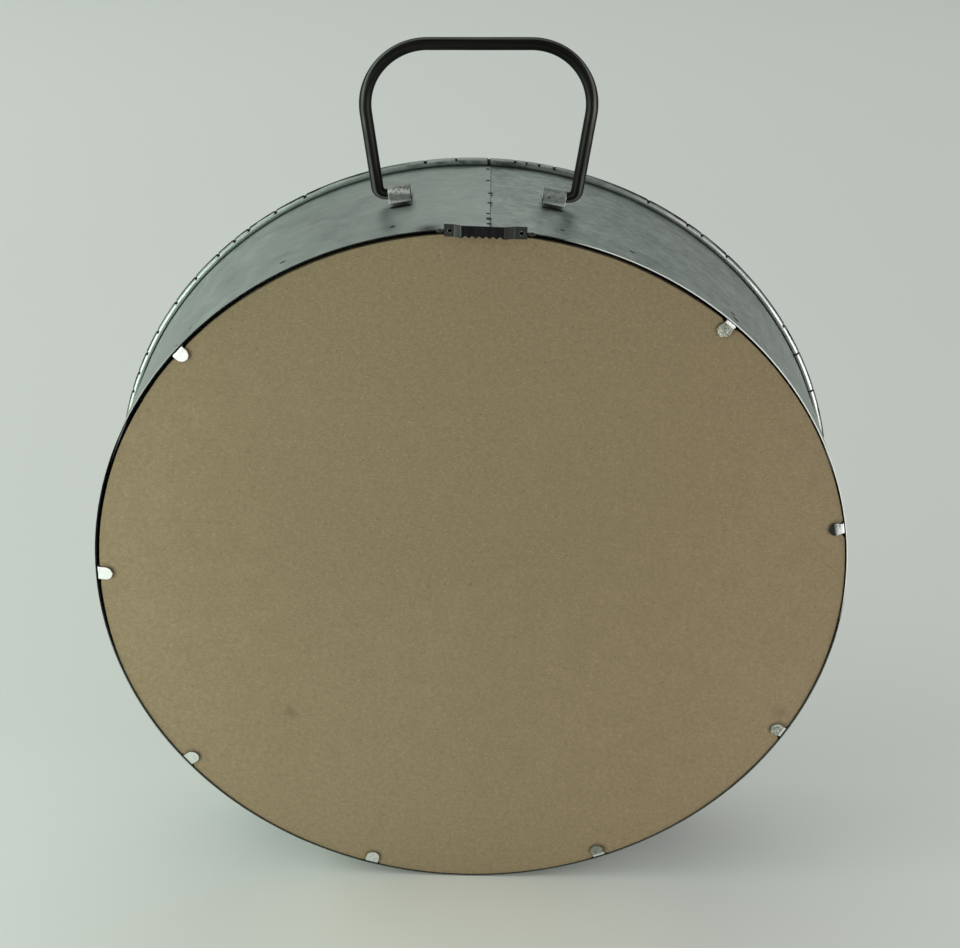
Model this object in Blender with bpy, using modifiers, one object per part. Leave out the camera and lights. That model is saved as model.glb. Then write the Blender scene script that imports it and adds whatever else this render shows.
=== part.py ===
"""Round wall mirror in a deep galvanised sheet-steel drum, with a bail handle on top.

Metres, +Z up. The drum's axis is Y: the back panel faces -Y and the mirror faces +Y.
The origin is the drum's centre on the back face of the backing board.
"""

from math import cos, pi, radians, sin, sqrt, tan

import bmesh
import bpy
from mathutils import Matrix, Vector

# ---- driving dimensions -------------------------------------------------------------
SEGMENTS = 80               # facets round every large turned piece
CLEARANCE = 0.0003          # gap between pieces that rest on each other

BAND_RADIUS = 0.2032        # outer radius of the drum, 16 in across
SHEET = 0.0007              # thickness of the band's sheet
DRUM_DEPTH = 0.1009         # back edge to the front of the wired edge
BOARD_RECESS = 0.0009       # the board's back face lies this far inside the band's back edge

WIRE_RADIUS = 0.00135       # wire inside the rolled front edge
WIRE_GAP = 0.0002           # play between the wire and the sheet rolled round it
CURL_TURN = radians(300)    # how far the sheet turns round the wire

SEAM_ANGLE = radians(88.05)     # edge of the lap joint, measured from +X towards +Z
LAP_SHIFT = 0.0083              # the lap is a cylinder of the band's radius moved sideways by this
LAP_RUN_OUT = radians(5.5)      # angle over which the lap sinks back into the band
SEAM_MARGIN = 0.0015            # the lap stops this short of the back edge and of the bead
RIVETS = (                      # depth of each rivet, and how far round it sits behind the seam's edge
    (0.0045, radians(0.33)),
    (0.0118, radians(0.33)),
    (0.0193, radians(0.33)),
    (0.0352, radians(0.33)),
    (0.0499, radians(0.33)),
    (0.0697, radians(0.75)),
    (0.0883, radians(0.75)),
)
RIVET_HEAD_RADIUS = 0.0011
RIVET_HEAD_HEIGHT = 0.0004
RIVET_SHANK_RADIUS = 0.0005
RIVET_HOLE_RADIUS = 0.0007

BOARD_RADIUS = 0.2006
BOARD_THICKNESS = 0.0030
PANEL_DROP = 0.0009         # board and glass sink this far below the drum's centre
GLASS_RADIUS = 0.2004
GLASS_THICKNESS = 0.0030
LEDGE_SHEET = 0.0008
LEDGE_WIDTH = 0.0121        # how far the ledge reaches in from its rim
LEDGE_LENGTH = 0.0084       # along the band

TAB_ANGLES = tuple(radians(a) for a in (50.0, 11.0, -28.0, -67.2, -106.2, -142.8, 179.4, 138.3))
TAB_SHEET = 0.0005
TAB_HALF_WIDTH = 0.0037
TAB_REACH = 0.0078          # how far a folded tab reaches in over the board
TAB_LEG = 0.0060            # how deep its leg goes down inside the band
TAB_BEND = 0.0006

ROD_RADIUS = 0.003175       # quarter-inch rod
PIVOT = Vector((0, 0.0455, 0.2038))     # centre of the handle's axis, which runs along X
HANDLE_HEIGHT = 0.0783      # axis to the middle of the top bar
TOP_BEND = 0.0311
TOP_HALF_FLAT = 0.0256
LEG_TILT = radians(7.8)     # the legs lean in towards the lugs
PIN_BEND = 0.0052
PIN_END = 0.0345            # distance of each pin's end from the middle

LUG_SHEET = 0.0008
LUG_INNER = 0.0334          # the straps' feet reach from here to LUG_OUTER along the axis
LUG_OUTER = 0.0446
LUG_PLAY = 0.00015          # radial clearance round the rod
LUG_TILT = radians(8)       # each strap's top rises towards the middle
LUG_LEAN = radians(7.5)     # each strap leans outwards, as it stands square on the round band
LUG_FOOT = 0.0135           # length of the foot, from the axis forwards
LUG_LIP_GAP = 0.0012        # the free lip ends this far above the band

HANGER_SHEET = 0.0009
HANGER_TOP = 0.2051
HANGER_BOTTOM = 0.1988
HANGER_SLOPE = -0.021       # the strip's right end sits a little low
HANGER_ENDS = (-0.0157, 0.0252)
HANGER_FEET = (-0.0107, 0.0191)     # where the flat feet stop
HANGER_BRIDGE = (-0.0073, 0.0140)   # where the raised middle starts and stops
HANGER_RISE = 0.0016                # how far the middle stands off
HANGER_HOLE_RADIUS = 0.0011
HANGER_HOLES = (-0.0128, 0.0224)
TOOTH_COUNT = 6
TOOTH_PITCH = 0.0034
TOOTH_DEPTH = 0.0013
WELD_SIZE = Vector((0.0019, 0.0009, 0.0010))    # half sizes of the lumps at the strip's ends

# ---- derived dimensions -------------------------------------------------------------
BACK_EDGE = -BOARD_RECESS
CURL_INNER = WIRE_RADIUS + WIRE_GAP
CURL_OUTER = CURL_INNER + SHEET
BEAD_RADIUS = BAND_RADIUS + CURL_INNER          # distance of the wire from the drum's axis
BEAD_DEPTH = BACK_EDGE + DRUM_DEPTH - CURL_OUTER
BAND_BORE = BAND_RADIUS - SHEET
GLASS_BACK = BOARD_THICKNESS + CLEARANCE
LEDGE_BACK = GLASS_BACK + GLASS_THICKNESS + CLEARANCE
LEDGE_RADIUS = BAND_BORE - 0.0004
LAP_AXIS = SEAM_ANGLE + radians(5) - pi / 2     # direction in which the lap's cylinder is moved
LAP_CENTRE = Vector((LAP_SHIFT * cos(LAP_AXIS), 0, LAP_SHIFT * sin(LAP_AXIS)))

ROUND_ABOUT_Y = (-pi / 2, 0, 0)     # turns a piece built round Z so that its +Z points along +Y

MATERIALS = {
    "galvanised": ((0.44, 0.47, 0.46, 1), 0.45, 0.9),
    "bright_galvanised": ((0.72, 0.74, 0.72, 1), 0.3, 0.95),
    "dark_rod": ((0.05, 0.05, 0.048, 1), 0.38, 0.8),
    "black_steel": ((0.025, 0.025, 0.027, 1), 0.45, 0.6),
    "weld": ((0.06, 0.06, 0.06, 1), 0.5, 0.8),
    "rivet": ((0.12, 0.13, 0.13, 1), 0.5, 0.8),
    "wire": ((0.35, 0.36, 0.36, 1), 0.4, 0.9),
    "hardboard": ((0.33, 0.27, 0.19, 1), 0.9, 0.0),
    "mirror": ((0.9, 0.92, 0.92, 1), 0.03, 1.0),
}


# ---- helpers ------------------------------------------------------------------------
def clear_scene():
    for obj in list(bpy.data.objects):
        bpy.data.objects.remove(obj, do_unlink=True)


def make_collection(name):
    collection = bpy.data.collections.new(name)
    bpy.context.scene.collection.children.link(collection)
    return collection


def material(name):
    """One material per object, named after the finish it has."""
    colour, roughness, metallic = MATERIALS[name]
    made = bpy.data.materials.new(name)
    made.use_nodes = True
    shader = made.node_tree.nodes["Principled BSDF"]
    shader.inputs["Base Color"].default_value = colour
    shader.inputs["Roughness"].default_value = roughness
    shader.inputs["Metallic"].default_value = metallic
    made.diffuse_color = colour
    return made


def add_object(name, mesh, finish, collection):
    obj = bpy.data.objects.new(name, mesh)
    mesh.materials.append(material(finish))
    collection.objects.link(obj)
    return obj


def shade_round(mesh, crease=radians(35)):
    mesh.shade_smooth()
    mesh.set_sharp_from_angle(angle=crease)


def add_screw(obj, steps):
    screw = obj.modifiers.new("turn", "SCREW")
    screw.axis = "Z"
    screw.steps = steps
    screw.render_steps = steps
    screw.use_merge_vertices = True
    screw.merge_threshold = 0.00001
    screw.use_smooth_shade = True


def turned_ring(name, profile, finish, collection):
    """A closed (radius, depth) outline turned once round the drum's axis."""
    area = sum(a[0] * b[1] - b[0] * a[1] for a, b in zip(profile, profile[1:] + profile[:1]))
    loop = profile[::-1] if area > 0 else profile
    count = len(loop)
    mesh = bpy.data.meshes.new(name)
    mesh.from_pydata([(r, 0, d) for r, d in loop], [(i, (i + 1) % count) for i in range(count)], [])
    obj = add_object(name, mesh, finish, collection)
    add_screw(obj, SEGMENTS)
    obj.rotation_euler = ROUND_ABOUT_Y
    return obj


def disc(name, radius, thickness, back, finish, collection):
    """A flat round panel whose back face lies at depth back."""
    mesh = bpy.data.meshes.new(name)
    bm = bmesh.new()
    bmesh.ops.create_cone(
        bm, cap_ends=True, segments=SEGMENTS, radius1=radius, radius2=radius, depth=thickness
    )
    bm.to_mesh(mesh)
    bm.free()
    shade_round(mesh)
    obj = add_object(name, mesh, finish, collection)
    obj.rotation_euler = ROUND_ABOUT_Y
    obj.location = (0, back + thickness / 2, -PANEL_DROP)


def bent_strip(name, rows, thickness, finish, collection):
    """Sheet metal: a grid of points on its middle surface, given thickness by Solidify."""
    width = len(rows[0])
    points = [point for row in rows for point in row]
    faces = []
    for i in range(len(rows) - 1):
        for j in range(width - 1):
            corner = i * width + j
            faces.append((corner, corner + 1, corner + width + 1, corner + width))
    mesh = bpy.data.meshes.new(name)
    mesh.from_pydata(points, [], faces)
    shade_round(mesh, radians(50))
    obj = add_object(name, mesh, finish, collection)
    solidify = obj.modifiers.new("sheet", "SOLIDIFY")
    solidify.thickness = thickness
    solidify.offset = 0
    solidify.use_even_offset = True
    return obj


def round_cutter(name, radius, start, end, collection):
    """A plain cylinder from start to end, used to drill a hole."""
    mesh = bpy.data.meshes.new(name)
    bm = bmesh.new()
    axis = end - start
    bmesh.ops.create_cone(
        bm, cap_ends=True, segments=12, radius1=radius, radius2=radius, depth=axis.length
    )
    bm.to_mesh(mesh)
    bm.free()
    obj = bpy.data.objects.new(name, mesh)
    collection.objects.link(obj)
    obj.rotation_mode = "QUATERNION"
    obj.rotation_quaternion = axis.to_track_quat("Z", "Y")
    obj.location = (start + end) / 2
    return hide_cutter(obj)


def hide_cutter(obj):
    obj.hide_render = True
    obj.display_type = "WIRE"
    return obj


def add_boolean(obj, cutter, operation):
    cut = obj.modifiers.new(cutter.name, "BOOLEAN")
    cut.operation = operation
    cut.solver = "EXACT"
    cut.object = cutter


def radial(angle):
    """Unit vector from the drum's axis towards this angle."""
    return Vector((cos(angle), 0, sin(angle)))


def arc(centre, radius, start, end, steps):
    """Points (u, v) along an arc, both ends included."""
    turn = (end - start) / steps
    return [
        (centre[0] + radius * cos(start + turn * i), centre[1] + radius * sin(start + turn * i))
        for i in range(steps + 1)
    ]


# ---- the drum -----------------------------------------------------------------------
def band_profile():
    """Wall and wired edge: up the wall's outer face, round the wire, and back down the bore."""
    inside = arc((BEAD_RADIUS, BEAD_DEPTH), CURL_INNER, pi, pi - CURL_TURN, 10)
    outside = arc((BEAD_RADIUS, BEAD_DEPTH), CURL_OUTER, pi - CURL_TURN, pi, 12)
    return [(BAND_RADIUS, BACK_EDGE)] + inside + outside + [(BAND_BORE, BACK_EDGE)]


def lap_radius(angle):
    """Distance of the lap's outer face from the drum's axis."""
    along = LAP_CENTRE.dot(radial(angle))
    return along + sqrt(BAND_RADIUS**2 - LAP_CENTRE.length_squared + along**2)


def add_lap(band, cutters):
    """The overlapping end of the sheet: it stands proud at the seam and fades into the band."""
    depths = (BACK_EDGE + SEAM_MARGIN, BEAD_DEPTH - CURL_OUTER - SEAM_MARGIN)
    steps = 5
    rows = []
    for i in range(steps + 1):
        angle = SEAM_ANGLE + LAP_RUN_OUT * i / steps
        middle = radial(angle) * (lap_radius(angle) - SHEET / 2)
        rows.append([middle + Vector((0, depth, 0)) for depth in depths])
    lap = bent_strip("lap", rows, SHEET, "galvanised", cutters)
    add_boolean(band, hide_cutter(lap), "UNION")


def rivet_places():
    """Foot of each seam rivet on the lap's outer face, and its direction."""
    places = []
    for depth, setback in RIVETS:
        outward = radial(SEAM_ANGLE + setback)
        foot = outward * lap_radius(SEAM_ANGLE + setback) + Vector((0, depth, 0))
        places.append((foot, outward))
    return places


def build_band(parts, cutters):
    band = turned_ring("drum_band", band_profile(), "galvanised", parts)
    add_lap(band, cutters)
    for i, (foot, outward) in enumerate(rivet_places()):
        start = foot - outward * 0.004
        end = foot + outward * 0.004
        hole = round_cutter(f"rivet_hole_{i + 1}", RIVET_HOLE_RADIUS, start, end, cutters)
        add_boolean(band, hole, "DIFFERENCE")


def build_rim_wire(parts):
    section = arc((BEAD_RADIUS, BEAD_DEPTH), WIRE_RADIUS, 0, 2 * pi, 6)[:-1]
    turned_ring("rim_wire", section, "wire", parts)


def build_seam_rivets(parts):
    """Small domed rivets whose shanks fill the holes through the lap."""
    lift = 0.0001
    shank = SHEET * 2
    height = RIVET_HEAD_HEIGHT
    profile = [
        (0, lift + height),
        (RIVET_HEAD_RADIUS * 0.62, lift + height * 0.8),
        (RIVET_HEAD_RADIUS, lift + height * 0.3),
        (RIVET_HEAD_RADIUS, lift),
        (RIVET_SHANK_RADIUS, lift),
        (RIVET_SHANK_RADIUS, -shank),
        (0, -shank),
    ]
    for i, (foot, outward) in enumerate(rivet_places()):
        name = f"seam_rivet_{i + 1}"
        mesh = bpy.data.meshes.new(name)
        edges = [(k, k + 1) for k in range(len(profile) - 1)]
        mesh.from_pydata([(r, 0, d) for r, d in profile], edges, [])
        rivet = add_object(name, mesh, "rivet", parts)
        add_screw(rivet, 10)
        rivet.rotation_mode = "QUATERNION"
        rivet.rotation_quaternion = outward.to_track_quat("Z", "Y")
        rivet.location = foot


def build_ledge(parts):
    """L-section ring inside the band: the glass rests against its flange."""
    inner = LEDGE_RADIUS - LEDGE_WIDTH
    front = LEDGE_BACK + LEDGE_LENGTH
    profile = [
        (inner, LEDGE_BACK),
        (LEDGE_RADIUS, LEDGE_BACK),
        (LEDGE_RADIUS, front),
        (LEDGE_RADIUS - LEDGE_SHEET, front),
        (LEDGE_RADIUS - LEDGE_SHEET, LEDGE_BACK + LEDGE_SHEET),
        (inner, LEDGE_BACK + LEDGE_SHEET),
    ]
    turned_ring("glass_ledge", profile, "galvanised", parts)


def build_tabs(parts):
    """L-shaped clips: a leg down inside the band, folded over the board to a round end."""
    leg_radius = BAND_BORE - CLEARANCE - TAB_SHEET / 2
    lie = -CLEARANCE - TAB_SHEET / 2
    tip = leg_radius - TAB_REACH
    path = [(leg_radius, TAB_LEG, TAB_HALF_WIDTH)]
    for r, d in arc((leg_radius - TAB_BEND, lie + TAB_BEND), TAB_BEND, 0, -pi / 2, 3):
        path.append((r, d, TAB_HALF_WIDTH))
    for turn in (0, 30, 52, 70, 83):
        reach = tip + TAB_HALF_WIDTH * (1 - sin(radians(turn)))
        path.append((reach, lie, TAB_HALF_WIDTH * cos(radians(turn))))
    for i, angle in enumerate(TAB_ANGLES):
        along = radial(angle + pi / 2)
        rows = []
        for r, depth, half_width in path:
            middle = radial(angle) * r + Vector((0, depth, 0))
            rows.append([middle - along * half_width, middle + along * half_width])
        bent_strip(f"retaining_tab_{i + 1}", rows, TAB_SHEET, "bright_galvanised", parts)


# ---- the handle and its lugs --------------------------------------------------------
def handle_half():
    """Centreline of the +X half, from the pin's end to the middle of the top bar."""
    corner = (TOP_HALF_FLAT, HANDLE_HEIGHT - TOP_BEND)
    leg_top_x = corner[0] + TOP_BEND * cos(LEG_TILT)
    leg_top_z = corner[1] - TOP_BEND * sin(LEG_TILT)
    foot_x = leg_top_x - leg_top_z * tan(LEG_TILT)
    pin_x = foot_x - PIN_BEND * tan((pi / 2 - LEG_TILT) / 2)
    points = [(PIN_END, 0)]
    points += arc((pin_x, PIN_BEND), PIN_BEND, -pi / 2, -LEG_TILT, 6)
    points += arc(corner, TOP_BEND, -LEG_TILT, pi / 2, 10)
    return points


def build_handle(parts):
    """One bent rod: it hangs on the axis between the two lugs."""
    half = handle_half()
    points = half + [(-x, z) for x, z in reversed(half)]
    curve = bpy.data.curves.new("bail_handle", "CURVE")
    curve.dimensions = "3D"
    curve.bevel_depth = ROD_RADIUS
    curve.bevel_resolution = 4
    curve.use_fill_caps = True
    spline = curve.splines.new("POLY")
    spline.points.add(len(points) - 1)
    for target, (x, z) in zip(spline.points, points):
        target.co = (x, 0, z, 1)
    pivot = bpy.data.objects.new("handle_axis", None)
    pivot.location = PIVOT
    parts.objects.link(pivot)
    handle = bpy.data.objects.new("bail_handle", curve)
    curve.materials.append(material("dark_rod"))
    parts.objects.link(handle)
    handle.parent = pivot


def lug_path(x, ground):
    """Middle of the strap at distance x from the centre: foot, loop over the rod, free lip."""
    loop = ROD_RADIUS + LUG_PLAY + LUG_SHEET / 2
    axis_y = PIVOT.y
    axis_z = PIVOT.z + (LUG_OUTER - x) * tan(LUG_TILT)
    foot = ground + CLEARANCE + LUG_SHEET / 2
    lip = ground + LUG_LIP_GAP
    path = [
        (axis_y + LUG_FOOT, foot),
        (axis_y + loop + 0.0024, foot),
        (axis_y + loop + 0.0010, foot + 0.0003),
        (axis_y + loop + 0.0002, foot + 0.0013),
    ]
    path += arc((axis_y, axis_z), loop, 0, pi, 8)
    path += [(axis_y - loop - 0.0003, lip + 0.0014), (axis_y - loop - 0.0010, lip)]
    return path


def build_lugs(parts):
    stations = [LUG_INNER + (LUG_OUTER - LUG_INNER) * i / 4 for i in range(5)]
    for name, side in (("lug_left", -1), ("lug_right", 1)):
        paths = []
        for x in stations:
            ground = sqrt(BAND_RADIUS**2 - x**2)
            path = lug_path(x, ground)
            paths.append([Vector((side * (x + (z - ground) * tan(LUG_LEAN)), y, z)) for y, z in path])
        rows = [list(row) for row in zip(*paths)]
        bent_strip(name, rows, LUG_SHEET, "bright_galvanised", parts)


# ---- the hanger ---------------------------------------------------------------------
def hanger_drop(x):
    """How far the sloping strip lies above or below its middle at x."""
    return HANGER_SLOPE * (x - sum(HANGER_ENDS) / 2)


def hanger_outline():
    """(x, depth, lower edge) along the strip, with the saw teeth as a zigzag lower edge."""
    foot = BACK_EDGE - CLEARANCE - HANGER_SHEET / 2
    bridge = foot - HANGER_RISE
    notch = HANGER_BOTTOM + TOOTH_DEPTH
    first_tip = sum(HANGER_BRIDGE) / 2 - TOOTH_PITCH * TOOTH_COUNT / 2
    teeth = [(first_tip, bridge, HANGER_BOTTOM)]
    for i in range(TOOTH_COUNT):
        teeth.append((first_tip + TOOTH_PITCH * (i + 0.5), bridge, notch))
        teeth.append((first_tip + TOOTH_PITCH * (i + 1), bridge, HANGER_BOTTOM))
    start = [
        (HANGER_ENDS[0], foot, HANGER_BOTTOM),
        (HANGER_FEET[0], foot, HANGER_BOTTOM),
        (HANGER_BRIDGE[0], bridge, HANGER_BOTTOM),
    ]
    end = [
        (HANGER_BRIDGE[1], bridge, HANGER_BOTTOM),
        (HANGER_FEET[1], foot, HANGER_BOTTOM),
        (HANGER_ENDS[1], foot, HANGER_BOTTOM),
    ]
    return start + teeth + end


def build_hanger(parts, cutters):
    outline = hanger_outline()
    rows = [
        [Vector((x, depth, low + hanger_drop(x))) for x, depth, low in outline],
        [Vector((x, depth, HANGER_TOP + hanger_drop(x))) for x, depth, low in outline],
    ]
    strip = bent_strip("sawtooth_hanger", rows, HANGER_SHEET, "black_steel", parts)
    middle = (HANGER_TOP + HANGER_BOTTOM) / 2
    for i, x in enumerate(HANGER_HOLES):
        start = Vector((x, BACK_EDGE + 0.002, middle + hanger_drop(x)))
        end = Vector((x, BACK_EDGE - 0.005, middle + hanger_drop(x)))
        hole = round_cutter(f"nail_hole_{i + 1}", HANGER_HOLE_RADIUS, start, end, cutters)
        add_boolean(strip, hole, "DIFFERENCE")


def build_welds(parts):
    """Flattened lumps on the band's back edge, at the two ends of the strip."""
    edge_radius = BAND_RADIUS - SHEET / 2
    reach = WELD_SIZE.x + CLEARANCE
    places = (("hanger_weld_left", HANGER_ENDS[0] - reach), ("hanger_weld_right", HANGER_ENDS[1] + reach))
    for name, x in places:
        mesh = bpy.data.meshes.new(name)
        bm = bmesh.new()
        bmesh.ops.create_uvsphere(bm, u_segments=10, v_segments=6, radius=1)
        bm.transform(Matrix.Diagonal(WELD_SIZE).to_4x4())
        bm.to_mesh(mesh)
        bm.free()
        shade_round(mesh)
        weld = add_object(name, mesh, "weld", parts)
        weld.location = (x, BACK_EDGE - CLEARANCE - WELD_SIZE.y, sqrt(edge_radius**2 - x**2))


def main():
    clear_scene()
    parts = make_collection("round_wall_mirror")
    cutters = make_collection("cutters")
    build_band(parts, cutters)
    build_rim_wire(parts)
    build_seam_rivets(parts)
    build_ledge(parts)
    disc("backing_board", BOARD_RADIUS, BOARD_THICKNESS, 0, "hardboard", parts)
    disc("mirror_glass", GLASS_RADIUS, GLASS_THICKNESS, GLASS_BACK, "mirror", parts)
    build_tabs(parts)
    build_handle(parts)
    build_lugs(parts)
    build_hanger(parts, cutters)
    build_welds(parts)


main()
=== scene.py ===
"""Looks for a round galvanised wall mirror with a bail handle, seen from behind.

Metres, +Z up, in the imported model's frame: the drum's axis is Y and its back panel faces -Y.
The origin is the drum's centre on the back face of the backing board.
"""

from math import cos, exp, pi, radians, sin, sqrt, tan

import bmesh
import bpy
from mathutils import Matrix, Vector
from mathutils.noise import noise


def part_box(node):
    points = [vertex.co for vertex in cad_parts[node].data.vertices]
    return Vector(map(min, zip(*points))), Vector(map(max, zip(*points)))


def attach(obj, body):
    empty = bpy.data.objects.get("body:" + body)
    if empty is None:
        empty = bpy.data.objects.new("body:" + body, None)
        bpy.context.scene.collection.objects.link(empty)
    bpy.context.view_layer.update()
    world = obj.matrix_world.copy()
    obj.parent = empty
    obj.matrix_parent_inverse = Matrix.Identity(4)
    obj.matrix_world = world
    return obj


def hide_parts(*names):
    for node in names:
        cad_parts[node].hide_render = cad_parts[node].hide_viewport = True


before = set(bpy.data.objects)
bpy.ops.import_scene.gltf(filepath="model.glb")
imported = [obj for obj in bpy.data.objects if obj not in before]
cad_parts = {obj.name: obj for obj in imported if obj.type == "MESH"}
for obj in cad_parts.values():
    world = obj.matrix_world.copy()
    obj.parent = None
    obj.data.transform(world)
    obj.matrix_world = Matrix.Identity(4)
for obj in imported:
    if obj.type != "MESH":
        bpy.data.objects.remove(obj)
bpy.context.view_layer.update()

# ---- dimensions, as in the CAD unless a comment says otherwise -----------------------
BAND_RADIUS = 0.2032
SHEET = 0.0007
EASED = 0.00015         # how far the band's cut edge is eased
BACK_EDGE = -0.0009
DRUM_DEPTH = 0.1009
CURL_INNER = 0.00155
CURL_OUTER = CURL_INNER + SHEET
CURL_TURN = radians(300)
BEAD_RADIUS = BAND_RADIUS + CURL_INNER
BEAD_DEPTH = BACK_EDGE + DRUM_DEPTH - CURL_OUTER
SEAM_ANGLE = radians(88.05)
LAP_RISE = 0.00072
LAP_RUN_OUT = radians(5.5)
LAP_DEPTHS = (0.0007, 0.0925)

BOARD_RADIUS = 0.2006
BOARD_THICKNESS = 0.003
PANEL_DROP = 0.0009
GLASS_RADIUS = 0.2004
GLASS_THICKNESS = 0.003
GLASS_BACK = 0.0033
LEDGE_BACK = 0.0066
LEDGE_RADIUS = 0.2021
LEDGE_WIDTH = 0.0121
LEDGE_LENGTH = 0.0084
LEDGE_SHEET = 0.0008

ROD_RADIUS = 0.003175
PIVOT = Vector((0, 0.0455, 0.2038))
HANDLE_HEIGHT = 0.0783
TOP_BEND = 0.0311
TOP_HALF_FLAT = 0.0256
LEG_TILT = radians(7.8)
TOP_TILT = radians(1.0)     # only here: the bar's right end sits a little high
PIN_BEND = 0.0042       # one millimetre tighter than in the CAD
PIN_END = 0.0345

LUG_INNER = 0.0334
LUG_OUTER = 0.0446
LUG_SHEET = 0.0008
LUG_TILT = radians(8)
LUG_LEAN = radians(7.5)
LUG_LIP_GAP = 0.0017    # half a millimetre more than in the CAD
LUG_FOOT = 0.0135

TAB_SHEET = 0.0005
TAB_HALF_WIDTH = 0.0037
TAB_REACH = 0.0078
TAB_BEND = 0.0006
TAB_LEG = 0.006

HANGER_MIDDLE = 0.0034
# how bright: the strength of the painted highlight along each bend
HANGER_BENDS = ((-0.0105, 1.0), (-0.0075, 1.0), (0.0142, 0.45), (0.0189, 0.45))     # x, and how bright
HANGER_SLOPE = -0.021
HANGER_FOOT_DEPTH = -0.0021
NAIL_HOLES = (-0.0128, 0.0224)
NAIL_HOLE_RIM = 0.00118


# ---- small helpers -------------------------------------------------------------------
def radial(angle):
    return Vector((cos(angle), 0, sin(angle)))


def ease(low, high, value):
    """0 below low, 1 above high, smooth between them."""
    t = min(1.0, max(0.0, (value - low) / (high - low)))
    return t * t * (3 - 2 * t)


def arc(centre, radius, start, end, steps):
    turn = (end - start) / steps
    return [
        (centre[0] + radius * cos(start + turn * i), centre[1] + radius * sin(start + turn * i))
        for i in range(steps + 1)
    ]


def bell(distance, width):
    return exp(-((distance / width) ** 2))


def lengths(points):
    """Running length along a list of points, starting at 0."""
    total, found = 0.0, [0.0]
    for a, b in zip(points, points[1:]):
        total += (Vector(b) - Vector(a)).length
        found.append(total)
    return found


# ---- shader nodes --------------------------------------------------------------------
def plug(tree, socket, value):
    if isinstance(value, bpy.types.NodeSocket):
        tree.links.new(value, socket)
    else:
        socket.default_value = value


def add(tree, kind, values=None, **settings):
    made = tree.nodes.new("ShaderNode" + kind)
    for key, value in settings.items():
        setattr(made, key, value)
    for key, value in (values or {}).items():
        plug(tree, made.inputs[key], value)
    return made


def new_material(name, metallic=0.0):
    made = bpy.data.materials.new(name)
    made.use_nodes = True
    shader = made.node_tree.nodes["Principled BSDF"]
    shader.inputs["Metallic"].default_value = metallic
    return made, made.node_tree, shader


def coordinates(tree, source="Object", scale=(1, 1, 1)):
    found = add(tree, "TexCoord").outputs[source]
    return add(tree, "Mapping", {"Vector": found, "Scale": scale}).outputs[0]


def cloud(tree, vector, scale, detail=4.0, roughness=0.55, distortion=0.0):
    values = {
        "Vector": vector,
        "Scale": scale,
        "Detail": detail,
        "Roughness": roughness,
        "Distortion": distortion,
    }
    return add(tree, "TexNoise", values).outputs[0]


def spread(tree, value, low, high, to_low=0.0, to_high=1.0):
    values = {"Value": value, "From Min": low, "From Max": high, "To Min": to_low, "To Max": to_high}
    return add(tree, "MapRange", values).outputs[0]


def sums(tree, a, b, operation="ADD"):
    made = add(tree, "Math", operation=operation)
    plug(tree, made.inputs[0], a)
    plug(tree, made.inputs[1], b)
    return made.outputs[0]


def blend(tree, factor, a, b, mode="MIX"):
    made = add(tree, "Mix", data_type="RGBA", blend_type=mode)
    plug(tree, made.inputs[0], factor)
    plug(tree, made.inputs[6], a)
    plug(tree, made.inputs[7], b)
    return made.outputs[2]


def bumps(tree, height, strength, distance):
    return add(tree, "Bump", {"Height": height, "Strength": strength, "Distance": distance}).outputs[0]


# ---- materials -----------------------------------------------------------------------
def galvanised(name, dark, light):
    """Weathered zinc sheet: soft streaks and patches with fine grain.

    The mesh's attributes say where it is darkened by soiling and by painted shade, where it is streaky (wear)
    and where a highlight is painted.
    """
    made, tree, shader = new_material(name, 0.9)
    streaks = cloud(tree, coordinates(tree, "UV", (120, 190, 1)), 1.0, 5, 0.62, 0.9)
    patches = cloud(tree, coordinates(tree, "UV", (40, 50, 1)), 1.0, 4, 0.55, 0.8)
    grain = cloud(tree, coordinates(tree, "UV"), 620, 3, 0.6)
    tone = spread(tree, streaks, 0.3, 0.7, -0.3, 0.3)
    wear = add(tree, "Attribute", attribute_name="wear").outputs["Fac"]
    tone = sums(tree, tone, spread(tree, wear, 0, 1, 0.5, 1.5), "MULTIPLY")
    tone = sums(tree, tone, spread(tree, wear, 0, 1, 0.0, -0.17))
    tone = sums(tree, tone, spread(tree, patches, 0.3, 0.7, 0.32, 0.68))
    tone = sums(tree, tone, spread(tree, grain, 0.3, 0.7, -0.08, 0.08))
    colour = blend(tree, tone, dark, light)
    rough = spread(tree, patches, 0.3, 0.7, 0.38, 0.48)
    # painted highlight, blending the zinc towards near white
    shine = add(tree, "Attribute", attribute_name="shine").outputs["Fac"]
    colour = blend(tree, shine, colour, (0.95, 0.97, 0.94, 1))
    # darkening by soiling and by painted shade, broken up by specks; it also takes the metal's shine away
    darkened = add(tree, "Attribute", attribute_name="grime").outputs["Fac"]
    speck = cloud(tree, coordinates(tree, "UV"), 900, 2)
    darkened = sums(tree, darkened, spread(tree, speck, 0.35, 0.65, 0.85, 1.25), "MULTIPLY")
    colour = blend(tree, darkened, colour, (0.008, 0.008, 0.006, 1))
    rough = sums(tree, rough, sums(tree, darkened, 0.4, "MULTIPLY"))
    plug(tree, shader.inputs["Metallic"], spread(tree, darkened, 0, 1, 0.9, 0))
    plug(tree, shader.inputs["Specular IOR Level"], spread(tree, darkened, 0, 1, 0.5, 0.08))
    plug(tree, shader.inputs["Base Color"], colour)
    plug(tree, shader.inputs["Roughness"], rough)
    plug(tree, shader.inputs["Normal"], bumps(tree, sums(tree, streaks, grain), 0.25, 0.0002))
    return made


def near(tree, value, middle, reach):
    """1 where value is middle, falling to 0 at reach from it."""
    return spread(tree, sums(tree, sums(tree, value, middle, "SUBTRACT"), 0, "ABSOLUTE"), reach, 0)


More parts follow.
